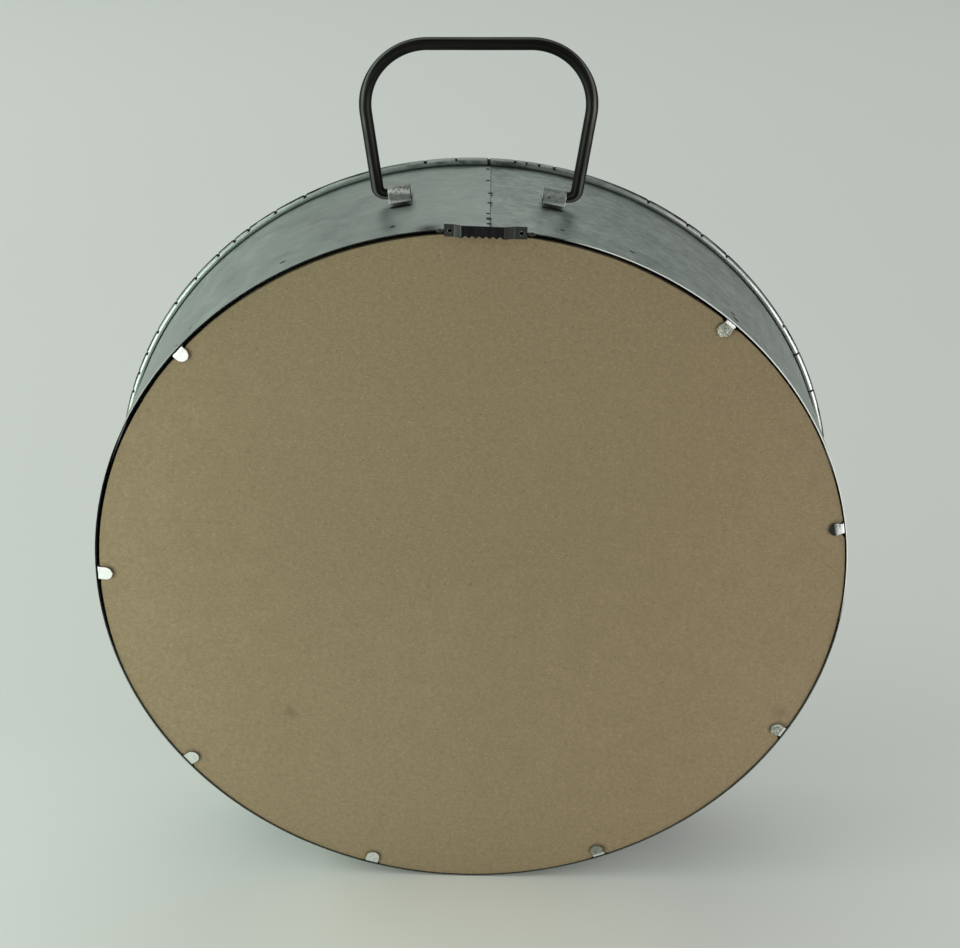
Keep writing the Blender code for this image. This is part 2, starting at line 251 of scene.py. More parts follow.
def bright_sheet(name, light, dark, patches, size=300, root=None, tip=None):
    """Bare zinc with darker patches. Patches is the share of dark, 0 to 1.

    Root and tip are (colour, u from, u to), for tones that take over towards an end; on the tabs they are a
    painted highlight on the bend at the root and painted shade at the tip.
    """
    made, tree, shader = new_material(name, 0.85)
    where = coordinates(tree)
    spots = cloud(tree, where, size, 5, 0.6, 1.0)
    grain = cloud(tree, where, 1800, 2)
    edge = 0.75 - 0.5 * patches
    tone = blend(tree, spread(tree, spots, edge - 0.1, edge + 0.1), light, dark)
    u = add(tree, "SeparateXYZ", {0: coordinates(tree, "UV")}).outputs["X"]
    for colour, start, end in (place for place in (root, tip) if place):
        tone = blend(tree, spread(tree, u, start, end), tone, colour)
    tone = blend(tree, spread(tree, grain, 0.3, 0.7, 0, 0.12), tone, (0.25, 0.27, 0.25, 1))
    plug(tree, shader.inputs["Base Color"], tone)
    plug(tree, shader.inputs["Roughness"], spread(tree, spots, 0.3, 0.7, 0.3, 0.45))
    plug(tree, shader.inputs["Normal"], bumps(tree, sums(tree, spots, grain), 0.35, 0.0003))
    return made


def lug_zinc(name, bend, bend_dark, face, face_dark, stain):
    """A bent strap: a pair of tones on the bend, which on the left strap paint its highlight, painted shade
    along its crest, another pair on its face, a painted highlight along the lip and one dark stain.
    """
    made, tree, shader = new_material(name, 0.9)
    where = coordinates(tree)
    spots = cloud(tree, where, 620, 4, 0.6, 0.8)
    fine = cloud(tree, where, 1500, 3)
    height = add(tree, "SeparateXYZ", {0: where}).outputs["Z"]
    on_bend = blend(tree, spread(tree, spots, 0.52, 0.6), bend, bend_dark)
    # painted shade along the crest of the bend
    crest = spread(tree, height, PIVOT.z + 0.0036, PIVOT.z + 0.0044, 0, 0.8)
    on_bend = blend(tree, crest, on_bend, bend_dark)
    on_face = blend(tree, spread(tree, spots, 0.35, 0.65), face, face_dark)
    tone = blend(tree, spread(tree, height, PIVOT.z + 0.0012, PIVOT.z + 0.0024), on_face, on_bend)
    tone = blend(tree, spread(tree, fine, 0.35, 0.7, 0, 0.35), tone, face_dark)
    # painted highlight along the lip
    lip = spread(tree, height, PIVOT.z - 0.0014, PIVOT.z - 0.002, 0, 0.4)
    tone = blend(tree, lip, tone, (0.7, 0.74, 0.7, 1))
    tone = blend(tree, spot(tree, where, stain, 0.0011), tone, (0.01, 0.01, 0.008, 1))
    plug(tree, shader.inputs["Base Color"], tone)
    plug(tree, shader.inputs["Roughness"], spread(tree, spots, 0.3, 0.7, 0.3, 0.45))
    plug(tree, shader.inputs["Normal"], bumps(tree, sums(tree, spots, fine), 0.4, 0.0003))
    return made


def dark_rod():
    """Oiled black rod. A painted highlight runs along its outer side, and a fainter one along the inner side
    of its legs.
    """
    made, tree, shader = new_material("dark_rod")
    shader.inputs["Specular IOR Level"].default_value = 0.05
    place = add(tree, "SeparateXYZ", {0: coordinates(tree, "UV")})
    height = add(tree, "SeparateXYZ", {0: coordinates(tree)}).outputs["Z"]
    around = place.outputs["Y"]
    lines = cloud(tree, coordinates(tree, "UV", (14, 26, 1)), 1.0, 4, 0.6)
    highlight_breakup = cloud(tree, coordinates(tree, "UV", (30, 2, 1)), 1.0, 4, 0.6)
    # painted highlights: along the outer side, moving to the top edge on the bar, and fainter along the inner
    # side of the legs
    outer = spread(tree, height, PIVOT.z + 0.05, PIVOT.z + 0.076, 0.825, 0.93)
    inner_amount = spread(tree, height, PIVOT.z + 0.074, PIVOT.z + 0.05, 0, 0.2)
    reach = spread(tree, height, PIVOT.z + 0.05, PIVOT.z + 0.076, 0.062, 0.036)
    wear_and_highlight = sums(tree, near(tree, around, outer, reach), 0.85, "MULTIPLY")
    wear_and_highlight = sums(tree, wear_and_highlight, sums(tree, near(tree, around, 0.67, 0.06), inner_amount, "MULTIPLY"))
    wear_and_highlight = sums(tree, wear_and_highlight, spread(tree, highlight_breakup, 0.3, 0.7, 0.2, 1.0), "MULTIPLY")
    drawn = spread(tree, lines, 0.45, 0.7, 0, 0.5)
    tone = blend(tree, drawn, (0.004, 0.004, 0.0035, 1), (0.028, 0.028, 0.024, 1))
    tone = blend(tree, wear_and_highlight, tone, (0.21, 0.225, 0.19, 1))
    brown = cloud(tree, coordinates(tree), 90, 4)
    tone = blend(tree, spread(tree, brown, 0.55, 0.75, 0, 0.3), tone, (0.016, 0.012, 0.009, 1))
    plug(tree, shader.inputs["Base Color"], tone)
    plug(tree, shader.inputs["Roughness"], spread(tree, lines, 0.3, 0.7, 0.28, 0.45))
    plug(tree, shader.inputs["Normal"], bumps(tree, lines, 0.15, 0.0002))
    return made


def black_steel():
    """Satin black strip, dull grey towards both feet, with a painted highlight along each of its four bend
    lines.
    """
    made, tree, shader = new_material("black_steel")
    shader.inputs["Specular IOR Level"].default_value = 0.12
    where = coordinates(tree)
    across = add(tree, "SeparateXYZ", {0: where}).outputs["X"]
    wear_and_highlight = cloud(tree, coordinates(tree, "Object", (700, 300, 90)), 1.0, 5, 0.65)
    off_middle = sums(tree, sums(tree, across, HANGER_MIDDLE, "SUBTRACT"), 0, "ABSOLUTE")
    feet = spread(tree, off_middle, 0.0105, 0.0125, 0, 0.8)
    tone = blend(tree, feet, (0.004, 0.0035, 0.004, 1), (0.028, 0.03, 0.028, 1))
    tone = blend(tree, spread(tree, wear_and_highlight, 0.45, 0.72, 0, 0.5), tone, (0.022, 0.022, 0.022, 1))
    # painted highlights along the bends
    bend_highlights = 0.0
    for x, bright in HANGER_BENDS:
        bend_highlights = sums(tree, bend_highlights, sums(tree, near(tree, across, x, 0.0005), bright, "MULTIPLY"))
    bend_highlights = sums(tree, bend_highlights, spread(tree, wear_and_highlight, 0.35, 0.6, 0.3, 1.0), "MULTIPLY")
    tone = blend(tree, sums(tree, bend_highlights, 0.7, "MULTIPLY"), tone, (0.13, 0.15, 0.13, 1))
    plug(tree, shader.inputs["Base Color"], tone)
    plug(tree, shader.inputs["Roughness"], spread(tree, wear_and_highlight, 0.3, 0.7, 0.3, 0.5))
    plug(tree, shader.inputs["Normal"], bumps(tree, wear_and_highlight, 0.2, 0.0003))
    return made


def burnt_metal(name, dark=(0.006, 0.006, 0.005, 1), light=(0.03, 0.03, 0.027, 1), glints=0.0):
    """Scorched metal; glints is the share of it covered by painted glints, bright bluish flecks."""
    made, tree, shader = new_material(name)
    shader.inputs["Specular IOR Level"].default_value = 0.2
    where = coordinates(tree)
    patches = cloud(tree, where, 900, 4, 0.6)
    # painted glints
    flecks = spread(tree, cloud(tree, where, 1400, 2), 0.58, 0.64, 0, glints)
    tone = blend(tree, spread(tree, patches, 0.5, 0.75), dark, light)
    plug(tree, shader.inputs["Base Color"], blend(tree, flecks, tone, (0.5, 0.54, 0.58, 1)))
    plug(tree, shader.inputs["Roughness"], spread(tree, patches, 0.3, 0.7, 0.35, 0.7))
    plug(tree, shader.inputs["Normal"], bumps(tree, patches, 0.4, 0.0003))
    return made


def spot(tree, where, place, size, core=0.2):
    """1 at a place and within the core's share of the size, fading to 0 at size from it."""
    away = add(tree, "VectorMath", {0: where, 1: place}, operation="DISTANCE").outputs["Value"]
    return spread(tree, away, size, size * core)


def hardboard():
    """Raw brown hardboard with flecks and two stain spots; painted light makes it paler low down and at the
    sides and darker at the top, and painted shadows lie next to the tabs.
    """
    made, tree, shader = new_material("hardboard")
    shader.inputs["Specular IOR Level"].default_value = 0.25
    where = coordinates(tree)
    place = add(tree, "SeparateXYZ", {0: where})
    # painted light: paler low down and at the sides, darker at the top, with random mottle added
    painted_light_and_mottle = spread(tree, place.outputs["Z"], 0.02, -0.16)
    painted_light_and_mottle = sums(tree, painted_light_and_mottle, spread(tree, place.outputs["X"], -0.1, -0.2, 0, 0.7))
    painted_light_and_mottle = sums(tree, painted_light_and_mottle, spread(tree, place.outputs["X"], 0.1, 0.2, 0, 0.35))
    painted_light_and_mottle = sums(tree, painted_light_and_mottle, spread(tree, place.outputs["Z"], 0.1, 0.19, 0, -0.35))
    clouds = cloud(tree, where, 11, 5, 0.6)
    mottle = cloud(tree, where, 75, 4, 0.6)
    painted_light_and_mottle = sums(tree, painted_light_and_mottle, spread(tree, clouds, 0.3, 0.7, -0.2, 0.2))
    painted_light_and_mottle = sums(tree, painted_light_and_mottle, spread(tree, mottle, 0.3, 0.7, -0.3, 0.3))
    fibres = cloud(tree, coordinates(tree, "Object", (1, 1, 1.7)), 620, 4, 0.7, 0.6)
    grain = cloud(tree, where, 330, 5, 0.78)
    flecks = cloud(tree, where, 900, 1, 0.4)
    tone = blend(tree, painted_light_and_mottle, (0.211, 0.167, 0.092, 1), (0.258, 0.205, 0.116, 1))
    tone = blend(tree, spread(tree, grain, 0.35, 0.65, 0, 0.6), tone, (0.162, 0.129, 0.071, 1))
    tone = blend(tree, spread(tree, fibres, 0.5, 0.7, 0, 0.5), tone, (0.345, 0.278, 0.17, 1))
    tone = blend(tree, spread(tree, flecks, 0.71, 0.76, 0, 0.8), tone, (0.05, 0.042, 0.025, 1))
    stain_and_shadow = spot(tree, where, (-0.1006, 0, -0.0881), 0.005)
    stain_and_shadow = sums(tree, stain_and_shadow, spot(tree, where, (0.175, 0, -0.0817), 0.006))
    # painted shadow next to each tab's round end
    for angle, reach, *_ in TABS:
        round_end = radial(radians(angle)) * (BAND_RADIUS - SHEET - 0.001 * reach + TAB_HALF_WIDTH)
        tab_shadow = spot(tree, where, round_end + Vector((0.0007, 0, 0.0007)), 0.0060, 0.6)
        stain_and_shadow = sums(tree, stain_and_shadow, sums(tree, tab_shadow, 1.7, "MULTIPLY"))
    tone = blend(tree, sums(tree, stain_and_shadow, 0.35, "MULTIPLY"), tone, (0.1, 0.08, 0.045, 1))
    plug(tree, shader.inputs["Base Color"], tone)
    plug(tree, shader.inputs["Roughness"], spread(tree, grain, 0.3, 0.7, 0.8, 0.95))
    plug(tree, shader.inputs["Normal"], bumps(tree, sums(tree, grain, fibres), 0.3, 0.0002))
    return made


def silvered_glass():
    made, tree, shader = new_material("mirror", 1.0)
    haze = cloud(tree, coordinates(tree), 14, 3)
    plug(tree, shader.inputs["Base Color"], blend(tree, haze, (0.86, 0.9, 0.88, 1), (0.92, 0.94, 0.93, 1)))
    plug(tree, shader.inputs["Roughness"], spread(tree, haze, 0.4, 0.8, 0.015, 0.04))
    return made


def backing_paint():
    """Dark grey paint on the back and the edge of the glass."""
    made, tree, shader = new_material("mirror_backing")
    patches = cloud(tree, coordinates(tree), 60, 4)
    tone = blend(tree, patches, (0.02, 0.021, 0.021, 1), (0.04, 0.041, 0.04, 1))
    plug(tree, shader.inputs["Base Color"], tone)
    plug(tree, shader.inputs["Roughness"], spread(tree, patches, 0.3, 0.7, 0.5, 0.7))
    return made


# ---- meshes --------------------------------------------------------------------------
def finish_mesh(name, mesh, material, body="drum", smooth=radians(40)):
    """Makes a piece of a mesh: one material, smooth up to an angle, riding on its body."""
    bm = bmesh.new()
    bm.from_mesh(mesh)
    bmesh.ops.recalc_face_normals(bm, faces=bm.faces)
    bm.to_mesh(mesh)
    bm.free()
    mesh.materials.append(material)
    mesh.shade_smooth()
    mesh.set_sharp_from_angle(angle=smooth)
    obj = bpy.data.objects.new(name, mesh)
    bpy.context.scene.collection.objects.link(obj)
    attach(obj, body)
    return obj


def grid(name, rows, u, v, wrap_rows=False, wrap_columns=False, **layers):
    """A mesh of quads on rows of points. u and v are the texture distances of the rows and columns.

    Each layer is a named value for every point, in rows like the points.
    """
    high, wide = len(rows), len(rows[0])
    row_pairs = [(i, i + 1) for i in range(high - 1)] + ([(high - 1, 0)] if wrap_rows else [])
    column_pairs = [(j, j + 1) for j in range(wide - 1)] + ([(wide - 1, 0)] if wrap_columns else [])
    faces, places = [], []
    for i, (a, b) in enumerate(row_pairs):
        for j, (c, d) in enumerate(column_pairs):
            faces.append((a * wide + c, b * wide + c, b * wide + d, a * wide + d))
            places += (u[i], v[j], u[i + 1], v[j], u[i + 1], v[j + 1], u[i], v[j + 1])
    mesh = bpy.data.meshes.new(name)
    mesh.from_pydata([point for row in rows for point in row], [], faces)
    mesh.uv_layers.new(name="UVMap").data.foreach_set("uv", places)
    for key, values in layers.items():
        layer = mesh.attributes.new(key, "FLOAT", "POINT")
        layer.data.foreach_set("value", [value for row in values for value in row])
    return mesh


def thicken(obj, thickness, bevel):
    """Gives a sheet its thickness and rounds its cut edges."""
    solid = obj.modifiers.new("sheet", "SOLIDIFY")
    solid.thickness = thickness
    solid.offset = 0
    edges = obj.modifiers.new("edges", "BEVEL")
    edges.width = bevel
    edges.segments = 2
    edges.limit_method = "ANGLE"
    edges.angle_limit = radians(50)


def lens(bm, centre, along, across, out, half):
    """Adds a low oval dome of half sizes (along, across, out) to a bmesh."""
    shape = Matrix((along * half[0], across * half[1], out * half[2])).transposed().to_4x4()
    shape.translation = centre
    bmesh.ops.create_uvsphere(bm, u_segments=16, v_segments=8, radius=1, matrix=shape)


# ---- the band and its wired edge -----------------------------------------------------
# Bites in the bead: angle in degrees, depth in mm, width in mm, and whether it crosses the whole bead.
BITES = [
    (97.9, 0.45, 1.4, False),
    (93.3, 0.35, 1.0, False),
    (88.4, 0.8, 1.3, True),
    (84.5, 0.4, 1.2, False),
    (82.8, 0.35, 0.9, False),
    (80.9, 0.4, 1.1, False),
    (78.6, 0.45, 1.3, False),
]
DEEP_BITES = (117.0, 122.2, 127.3, 130.2, 133.7, 139.0, 144.3, 150.2, 154.4, 158.1, 161.5)
LIGHT_BITES = (171.0, 183.0, 63.4, 56.3, 53.5, 48.3, 33.3, 12.0)
BITES += [(angle, 0.5, 1.3, False) for angle in DEEP_BITES]
BITES += [(angle, 0.4, 1.2, False) for angle in LIGHT_BITES]
BITES += [(angle, 0.42, 0.8, True) for angle in (28.0, 21.0)]
BITES += [(-10.0 - 24 * k, 0.4, 1.1, False) for k in range(7)]


def band_profile():
    """(radius, depth, turn round the bead or None) from the back edge round the curl and back."""
    outside_wall = [BACK_EDGE + EASED + (BEAD_DEPTH - BACK_EDGE) * (i / 34) ** 1.3 for i in range(34)]
    profile = [(BAND_RADIUS - EASED, BACK_EDGE, None)]
    profile += [(BAND_RADIUS, depth, None) for depth in outside_wall]
    start, end = pi, pi - CURL_TURN
    profile += [(r, d, None) for r, d in arc((BEAD_RADIUS, BEAD_DEPTH), CURL_INNER, start, end, 14)]
    steps = 34
    for i, (r, d) in enumerate(arc((BEAD_RADIUS, BEAD_DEPTH), CURL_OUTER, end, start, steps)):
        profile.append((r, d, end + CURL_TURN * i / steps))
    bore = BAND_RADIUS - SHEET
    profile += [(bore, BEAD_DEPTH - (BEAD_DEPTH - BACK_EDGE) * i / 8, None) for i in range(1, 8)]
    profile.append((bore, BACK_EDGE + EASED, None))
    profile.append((bore + EASED, BACK_EDGE, None))
    return profile


def column_angles():
    """Every three quarters of a degree, and closer together at each bite."""
    found = {round(i * 0.75, 3) for i in range(480)}
    for angle, _, width, _ in BITES:
        for k in range(-4, 5):
            found.add(round((angle + k * width * 0.075) % 360, 3))
    return [radians(a) for a in sorted(found)]


def bites_at(angle):
    """(cut in metres, cut that crosses the whole bead) at an angle."""
    cut = whole = 0.0
    for place, deep, width, crossing in BITES:
        gap = (angle - radians(place) + pi) % (2 * pi) - pi
        if abs(gap) > 0.05:
            continue
        size = deep * 0.001 * bell(gap * BAND_RADIUS, width * 0.0005)
        cut = max(cut, size)
        if crossing:
            whole = max(whole, size)
    return cut, whole


def wear_at(angle):
    """The band is streakier to the right of its seam."""
    return (1 - ease(SEAM_ANGLE, SEAM_ANGLE + radians(1), angle)) * ease(radians(-20), radians(10), angle)


def cut_edge_highlight(angle):
    """1 along the stretch of the cut edge where a highlight is painted."""
    return ease(radians(-8), radians(2), angle) * (1 - ease(radians(72), radians(80), angle))


def bead_grime(angle, turn, cut, whole):
    """How dark the bead is at a turn round its section: painted shade along its limb and under the curl, dark
    bites and a darker, patchy film across the top.
    """
    out = radial(angle)
    upright = max(0.0, sin(angle))
    start = radians(-44 + 12 * upright) + 0.3 * noise(out * 22) + 0.15 * noise(out * 70)
    # painted shade: a dark line along the bead's limb
    limb = ease(start - radians(8), start + radians(8), turn) * (1 - ease(radians(70), radians(100), turn))
    top = ease(radians(24), radians(5), abs(angle - radians(88)))
    patch = ease(-0.15, 0.35, noise(out * 30 + Vector((9, turn, 2))) + 0.5 * noise(out * 90))
    crest = ease(radians(-72), radians(-60), turn) * (1 - ease(radians(75), radians(100), turn))
    bite = min(1.0, max(cut * crest, whole) / 0.00016)
    # painted shade under the curl
    under = 1 - ease(radians(-122), radians(-104), turn)
    limb *= 1 - 0.7 * top
    film = (0.25 * top + 0.45 * top * patch) * (1 - 0.6 * ease(radians(-55), radians(-40), turn))
    return max(limb, film, bite, under)


def bead_shine(angle, turn):
    """A painted highlight along the bead's crest at both sides, patchy, and a fainter one nearer its limb
    across the top.
    """
    away = abs(angle - radians(88))
    side = ease(radians(16), radians(34), away) * (1 - ease(radians(75), radians(95), away))
    patchy = ease(-0.3, 0.2, noise(radial(angle) * 16 + Vector((2, 0, 5))))
    strength = 0.12 + 0.55 * ease(radians(100), radians(80), angle)
    top = ease(radians(20), radians(8), away) * ease(radians(-56), radians(-42), turn)
    crest = side * strength * bell(turn - radians(-66), radians(14))
    return (0.5 + 0.5 * patchy) * max(crest, 0.35 * top)


def edge_marks(angle, r, off_edge, depth):
    """(darkening, painted highlight) on the band's wall: painted shade in the bead's crease, a soiled smudge
    by the hanger, a painted highlight along the outer edge on the left, and on the cut edge painted shade,
    except for a painted highlight at the upper right; the inner wall near the back edge is black as painted
    shade.
    """
    grime = shine = 0.0
    if r >= BAND_RADIUS:
        # painted shade in the crease behind the bead
        grime = 0.85 * bell(depth - (BEAD_DEPTH - 0.0016), 0.0011)
        smudge = bell((angle - radians(96.6)) * BAND_RADIUS, 0.0065)
        grime = max(grime, 0.8 * smudge * bell(off_edge - 0.002, 0.006))
        # painted highlight along the outer edge on the left
        if off_edge < 0.0012:
            left = ease(radians(138), radians(148), angle) * (1 - ease(radians(184), radians(196), angle))
            shine = 0.9 * left
    # cut edge: painted shade, half as dark low down, except where its highlight is painted
    elif off_edge < 0.0001:
        shine = cut_edge_highlight(angle)
        grime = (1 - shine) * (1 - 0.5 * ease(0.05, 0.3, -sin(angle)))
    # inner wall near the back edge: black, as painted shade in the gap
    elif off_edge < 0.02:
        grime = 1.0
    return grime, shine


def build_band(material):
    profile = band_profile()
    angles = column_angles()
    rows, grime, shine, wear = [], [], [], []
    for angle in angles:
        out = radial(angle)
        signed = angle if angle < radians(270) else angle - 2 * pi
        cut, whole = bites_at(angle)
        row, dirt_and_shade_row, bright = [], [], []
        for r, d, turn in profile:
            off_edge = d - BACK_EDGE
            if turn is None:
                swell = 0.00016 * noise(out * 6 + Vector((0, d * 30, 3)))
                swell += 0.00006 * noise(out * 26 + Vector((0, d * 120, 7)))
                swell *= ease(0, 0.006, off_edge) * (1 - ease(0.088, 0.095, d))
                ripple = 0.0001 * noise(out * 9 + Vector((5, 0, 0))) * (1 - ease(0, 0.01, off_edge))
                row.append(out * (r + swell) + Vector((0, d + ripple, 0)))
                black, white = edge_marks(signed, r, off_edge, d)
            else:
                size = max(cut * ease(radians(-75), radians(-50), turn), whole)
                size *= 1 - ease(radians(75), radians(100), turn)
                nr, nd = cos(turn), sin(turn)
                rough = 0.00004 * noise(out * 60 + Vector((0, turn * 2, 1)))
                row.append(out * (r + nr * (rough - size)) + Vector((0, d + nd * (rough - size), 0)))
                black, white = bead_grime(signed, turn, cut, whole), bead_shine(signed, turn)
            dirt_and_shade_row.append(min(1.0, black))
            bright.append(white)
        rows.append(row)
        grime.append(dirt_and_shade_row)
        shine.append(bright)
        wear.append([wear_at(signed)] * len(profile))
    u = [a * BAND_RADIUS for a in angles] + [(angles[0] + 2 * pi) * BAND_RADIUS]
    v = lengths([(r, d, 0) for r, d, _ in profile + profile[:1]])
    mesh = grid("band", rows, u, v, wrap_rows=True, wrap_columns=True, grime=grime, shine=shine, wear=wear)
    obj = finish_mesh("band", mesh, material)
    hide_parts("drum_band")


def lap_rise(angle):
    """How far the lap's outer face stands off the band, at an angle past the seam."""
    return LAP_RISE * (1 - ease(0, LAP_RUN_OUT, angle - SEAM_ANGLE)) - 0.00003


def build_lap(material):
    """The overlapping end of the sheet, thick at the seam and sinking into the band."""
    start, end = LAP_DEPTHS
    depths = [start + (end - start) * i / 30 for i in range(31)]
    angles = [SEAM_ANGLE + LAP_RUN_OUT * (i / 24) ** 1.5 for i in range(25)]
    rows, grime = [], []
    for i, angle in enumerate(angles):
        middle = BAND_RADIUS - SHEET / 2 + lap_rise(angle)
        row = []
        for depth in depths:
            ragged = 0.00012 * noise(Vector((0, depth * 160, 4))) * (1 if i == 0 else 0)
            row.append(radial(angle + ragged / BAND_RADIUS) * middle + Vector((0, depth, 0)))
        rows.append(row)
        grime.append([(1.0, 0.45)[i] if i < 2 else 0.0] * len(depths))
    u = [angle * BAND_RADIUS for angle in angles]
    mesh = grid("lap", rows, u, depths, grime=grime)
    obj = finish_mesh("lap", mesh, material)
    thicken(obj, SHEET, 0.0001)


# Each mark: depth in metres, setback from the seam, half length and half width in mm, turn in degrees.
SEAM_MARKS = (
    (0.0045, 0.55, 1.4, 1.3, -8),
    (0.0118, 0.75, 1.45, 1.9, 0),
    (0.0193, 1.1, 1.2, 0.9, 10),
    (0.0352, 0.3, 1.5, 1.15, -12),
    (0.0499, 0.2, 1.5, 1.1, -16),
    (0.0697, 1.5, 1.2, 0.8, 0),
    (0.0883, 1.7, 1.1, 0.9, 12),
)


def build_seam_marks(material):
    """The dark oval marks of the rivets along the lap; their dark paints the shade in the rivets' dimples."""
    bm = bmesh.new()
    for depth, setback, half_long, half_wide, turn in SEAM_MARKS:
        angle = SEAM_ANGLE + setback * 0.001 / BAND_RADIUS
        out = radial(angle)
        tangent = radial(angle + pi / 2)
        along = tangent * cos(radians(turn)) + Vector((0, sin(radians(turn)), 0))
        across = out.cross(along)
        centre = out * (BAND_RADIUS + lap_rise(max(angle, SEAM_ANGLE))) + Vector((0, depth, 0))
        lens(bm, centre, along, across, out, (half_long * 0.001, half_wide * 0.001, 0.00028))
    mesh = bpy.data.meshes.new("seam_marks")
    bm.to_mesh(mesh)
    bm.free()
    obj = finish_mesh("seam_marks", mesh, material)
    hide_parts(*[f"seam_rivet_{i}" for i in range(1, 8)])


# Each dash: angle in degrees, depth in metres, half length and half width in mm, turn in degrees.
SPOT_WELDS = [
    (138.4, 0.0051, 1.6, 0.63, 30),
    (135.7, 0.0115, 1.6, 0.63, 6),
    (118.5, 0.0125, 1.9, 0.9, 8),
    (101.8, 0.0113, 1.4, 1.26, 0),
    (77.8, 0.0112, 1.6, 1.08, 0),
    (67.4, 0.0122, 1.8, 0.99, 10),
    (49.8, 0.0118, 1.7, 0.9, 20),
    (49.4, 0.0069, 1.9, 0.72, 28),
]
SPOT_WELDS += [(29 - 17.5 * k, 0.0118, 1.5, 0.72, 0) for k in range(14)]


def build_spot_welds(material):
    """Dark dashes where the ledge and the tabs are tacked to the band, and dark ovals under the lugs' lips
    that paint their shadow.
    """
    bm = bmesh.new()
    for degrees, depth, half_long, half_wide, turn in SPOT_WELDS:
        angle = radians(degrees)
        out = radial(angle)
        along = radial(angle + pi / 2) * cos(radians(turn)) + Vector((0, sin(radians(turn)), 0))
        centre = out * BAND_RADIUS + Vector((0, depth, 0))
        lens(bm, centre, along, out.cross(along), out, (half_long * 0.001, half_wide * 0.001, 0.00018))
    # painted shadow: a dark oval on the band under each lug's lip
    for side, reach in ((-1, 0.0024), (1, 0.0018)):
        angle = pi / 2 - side * (LUG_INNER + LUG_OUTER) / 2 / BAND_RADIUS
        out, along = radial(angle), radial(angle - side * pi / 2)
        centre = out * BAND_RADIUS + Vector((0, PIVOT.y - 0.0058, 0))
        lens(bm, centre, along, Vector((0, 1, 0)), out, (0.0060, reach, 0.00015))
    mesh = bpy.data.meshes.new("spot_welds_and_lip_shadows")
    bm.to_mesh(mesh)
    bm.free()
    obj = finish_mesh("spot_welds_and_lip_shadows", mesh, material)


# ---- board, glass and ledge ----------------------------------------------------------
def board_swell(angle):
    """The board almost touches the band along its lower half and right side, but leaves room for the tabs."""
    signed = angle if angle < pi else angle - 2 * pi
    close = ease(radians(-178), radians(-160), signed) * ease(radians(60), radians(36), signed)
    swell = 0.0004 + 0.0010 * close + 0.00015 * noise(radial(angle) * 7) + 0.00008 * noise(radial(angle) * 60)
    for degrees, *_ in TABS:
        off_tab = abs((angle - radians(degrees) + pi) % (2 * pi) - pi) * BOARD_RADIUS
        swell *= ease(TAB_HALF_WIDTH, TAB_HALF_WIDTH + 0.0014, off_tab)
    return swell


def turned(name, profile, material, drop=0.0, segments=288, swell=None, grime=None):
    """A closed (radius, depth) outline turned round the drum's axis.

    Swell gives an extra radius at each angle, and the last argument gives how dark each point of the outline
    is painted.
    """
    rows = []
    for i in range(segments):
        angle = 2 * pi * i / segments
        out = radial(angle)
        extra = swell(angle) if swell else 0.0
        rows.append([out * (r + (extra if r > 0.19 else 0)) + Vector((0, d, -drop)) for r, d in profile])
    u = [2 * pi * i / segments * BAND_RADIUS for i in range(segments + 1)]
    v = lengths([(r, d, 0) for r, d in profile + profile[:1]])
    layers = {"grime": [grime] * segments} if grime else {}
    return finish_mesh(name, grid(name, rows, u, v, True, True, **layers), material)


def disc_profile(radius, back, front, bevel):
    """Half section of a round panel; its middle is closed by a hub too small to see."""
    hub = 0.0004
    return [
        (hub, back),
        (radius - bevel, back),
        (radius - bevel * 0.3, back + bevel * 0.3),
        (radius, back + bevel),
        (radius, front - bevel),
        (radius - bevel * 0.3, front - bevel * 0.3),
        (radius - bevel, front),
        (hub, front),
    ]


def build_panels(board_material, glass_material, paint, sheet_material):
    profile = disc_profile(BOARD_RADIUS, 0, BOARD_THICKNESS, 0.0003)
    board = turned("back_panel", profile, board_material, PANEL_DROP, 720, board_swell)
    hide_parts("backing_board")
    profile = disc_profile(GLASS_RADIUS, GLASS_BACK, GLASS_BACK + GLASS_THICKNESS, 0.0004)
    glass = turned("mirror", profile, glass_material, PANEL_DROP)
    glass.data.materials.append(paint)
    for face in glass.data.polygons:
        face.material_index = 0 if face.normal.y > 0.5 else 1
    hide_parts("mirror_glass")
    build_ledge(sheet_material)


def build_ledge(material):
    """An L-section ring. Its faces towards the band and the glass are painted black, as painted shade."""
    inner, front, back = LEDGE_RADIUS - LEDGE_WIDTH, LEDGE_BACK + LEDGE_LENGTH, LEDGE_BACK + LEDGE_SHEET
    soft = 0.0002
    section = [
        (inner, LEDGE_BACK + soft),
        (inner + soft, LEDGE_BACK),
        (LEDGE_RADIUS - soft, LEDGE_BACK),
        (LEDGE_RADIUS, LEDGE_BACK + soft),
        (LEDGE_RADIUS, front),
        (LEDGE_RADIUS - LEDGE_SHEET, front),
        (LEDGE_RADIUS - LEDGE_SHEET, back + 0.0005),
        (LEDGE_RADIUS - LEDGE_SHEET - 0.0005, back),
        (inner + soft, back),
        (inner, back - soft),
    ]
    half = LEDGE_SHEET / 2
    # painted shade on the faces towards the band and the glass
    painted_shade = [1.0 if d < LEDGE_BACK + half or r > LEDGE_RADIUS - half else 0.0 for r, d in section]
    ledge = turned("ledge", section, material, grime=painted_shade)
    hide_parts("glass_ledge")


# ---- retaining tabs ------------------------------------------------------------------
WHITE, PALE, GREY = (1.0, 1.0, 0.98, 1), (0.85, 0.88, 0.84, 1), (0.5, 0.54, 0.5, 1)
DIM, SHADE, BLACK = (0.3, 0.32, 0.27, 1), (0.1, 0.11, 0.085, 1), (0.012, 0.012, 0.01, 1)
